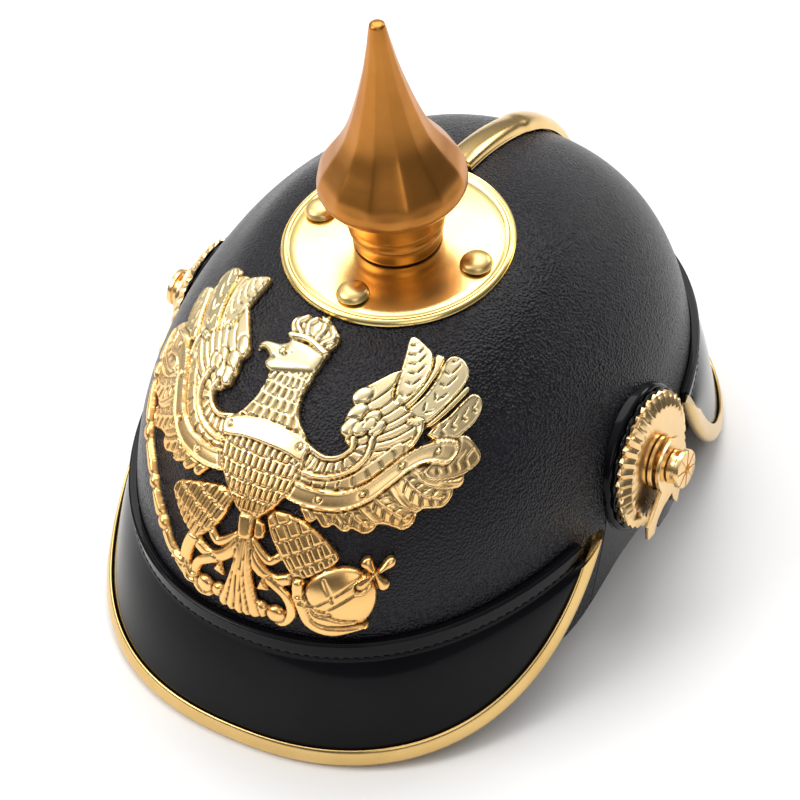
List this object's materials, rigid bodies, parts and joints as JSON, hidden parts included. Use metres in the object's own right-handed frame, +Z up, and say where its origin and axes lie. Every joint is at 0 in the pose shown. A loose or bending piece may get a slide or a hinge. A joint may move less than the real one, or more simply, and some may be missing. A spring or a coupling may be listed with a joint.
{
  "type": "spiked helmet",
  "caption": "Black leather helmet with a fluted brass spike on a round plate, front and rear visors with brass trim, a pierced eagle front plate and side rosettes.",
  "frame": {"origin": "on the surface the helmet stands on, below the middle of its bounding box", "axes": "+Z up, -Y towards the front visor, +X towards the wearer's left; the helmet stands on its two visor trims, which leans the spike 4.4 degrees forward"},
  "size_m": [0.2106, 0.2742, 0.2251],
  "materials": {
    "skull_leather": "pebbled black leather, satin",
    "patent_leather": "black patent leather, gloss",
    "black_disc": "black lacquer, gloss",
    "trim_brass": "polished brass, slightly worn",
    "plate_brass": "bright polished brass",
    "eagle_gilt": "gilt brass, darker in the recesses",
    "fitting_gilt": "pale gilt brass, stamped",
    "spike_bronze": "darker satin gilt brass"
  },
  "bodies": {
    "root": {"shell": "skull_leather", "front_visor": "patent_leather", "rear_visor": "patent_leather", "front_trim": "trim_brass", "rear_trim": "trim_brass", "spine": "trim_brass", "base_plate": "plate_brass", "base_stud_front": "plate_brass", "base_stud_left": "plate_brass", "base_stud_back": "plate_brass", "base_stud_right": "plate_brass", "neck": "spike_bronze", "spike": "spike_bronze", "eagle_plate": "eagle_gilt", "side_boss_left": "patent_leather", "under_disc_left": "black_disc", "rosette_left": "fitting_gilt", "post_left": "fitting_gilt", "side_boss_right": "patent_leather", "under_disc_right": "black_disc", "rosette_right": "fitting_gilt", "post_right": "fitting_gilt"},
    "left_lug": {"strap_lug_left": "fitting_gilt", "lug_backing_left": "skull_leather"},
    "right_lug": {"strap_lug_right": "fitting_gilt", "lug_backing_right": "skull_leather"}
  },
  "joints": [
    {"name": "left_lug_swing", "type": "hinge", "parent": "root", "child": "left_lug", "pos_m": [0.09861, -0.00102, 0.05944], "axis": [0.9954, -0.0073, 0.0956], "continuous": true},
    {"name": "right_lug_swing", "type": "hinge", "parent": "root", "child": "right_lug", "pos_m": [-0.09861, -0.00102, 0.05944], "axis": [-0.9954, -0.0073, 0.0956], "continuous": true}
  ]
}
